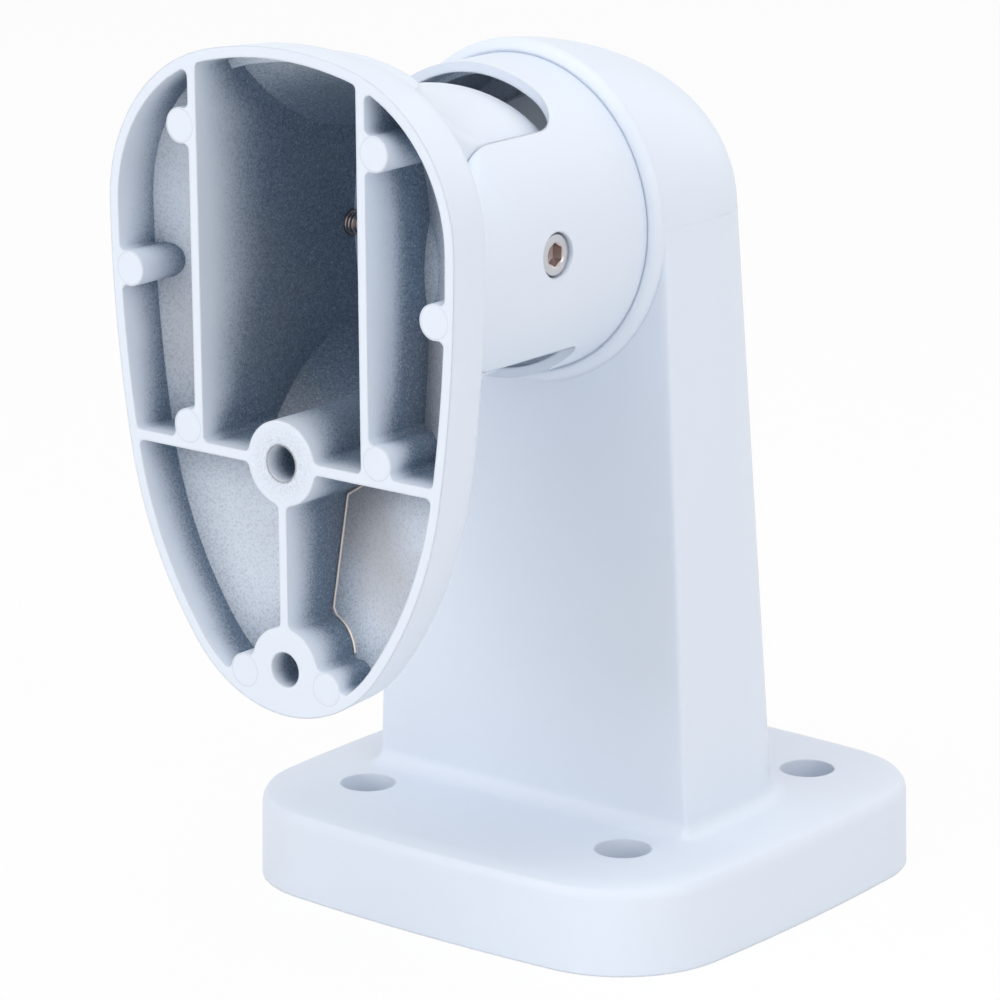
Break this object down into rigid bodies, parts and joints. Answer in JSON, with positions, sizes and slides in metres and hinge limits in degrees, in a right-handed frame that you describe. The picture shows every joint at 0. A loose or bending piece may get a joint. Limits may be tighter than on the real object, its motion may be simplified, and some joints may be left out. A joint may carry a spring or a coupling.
{
  "type": "camera wall bracket",
  "caption": "Cast wall bracket with a hollow arm, a swivelling housing and a tilting egg-shaped ribbed camera plate.",
  "frame": {"origin": "on the wall face, at the middle of the four wall bolts", "axes": "+Z along the arm away from the wall face, -Y towards the camera, +X to the right of the plate seen from behind it"},
  "size_m": [0.1406, 0.1818, 0.2273],
  "materials": {
    "powder_coat": "satin powder coat",
    "stainless": "turned stainless steel",
    "acetal": "matt",
    "seal": "matt"
  },
  "bodies": {
    "arm": {"wall_arm": "powder_coat", "rear_glide_ring": "acetal", "front_glide_ring": "acetal", "clamp_ring": "stainless", "cable_bush": "acetal", "stop_pin": "stainless", "clamp_screw_1": "stainless", "clamp_screw_2": "stainless", "clamp_screw_3": "stainless", "clamp_screw_4": "stainless", "clamp_washer_1": "stainless", "clamp_washer_2": "stainless", "clamp_washer_3": "stainless", "clamp_washer_4": "stainless"},
    "swivel": {"swivel_housing": "powder_coat", "swivel_seal": "seal"},
    "plate": {"camera_plate": "powder_coat", "tilt_screw_right": "stainless", "tilt_screw_left": "stainless", "tilt_washer_right": "acetal", "tilt_washer_left": "acetal"}
  },
  "joints": [
    {"name": "swivel", "type": "hinge", "parent": "arm", "child": "swivel", "pos_m": [0, -0.03, 0.175], "axis": [0, 1, 0], "range_deg": [-160, 160]},
    {"name": "tilt", "type": "hinge", "parent": "swivel", "child": "plate", "pos_m": [0, -0.0614, 0.175], "axis": [1, 0, 0], "range_deg": [-35, 35]}
  ]
}
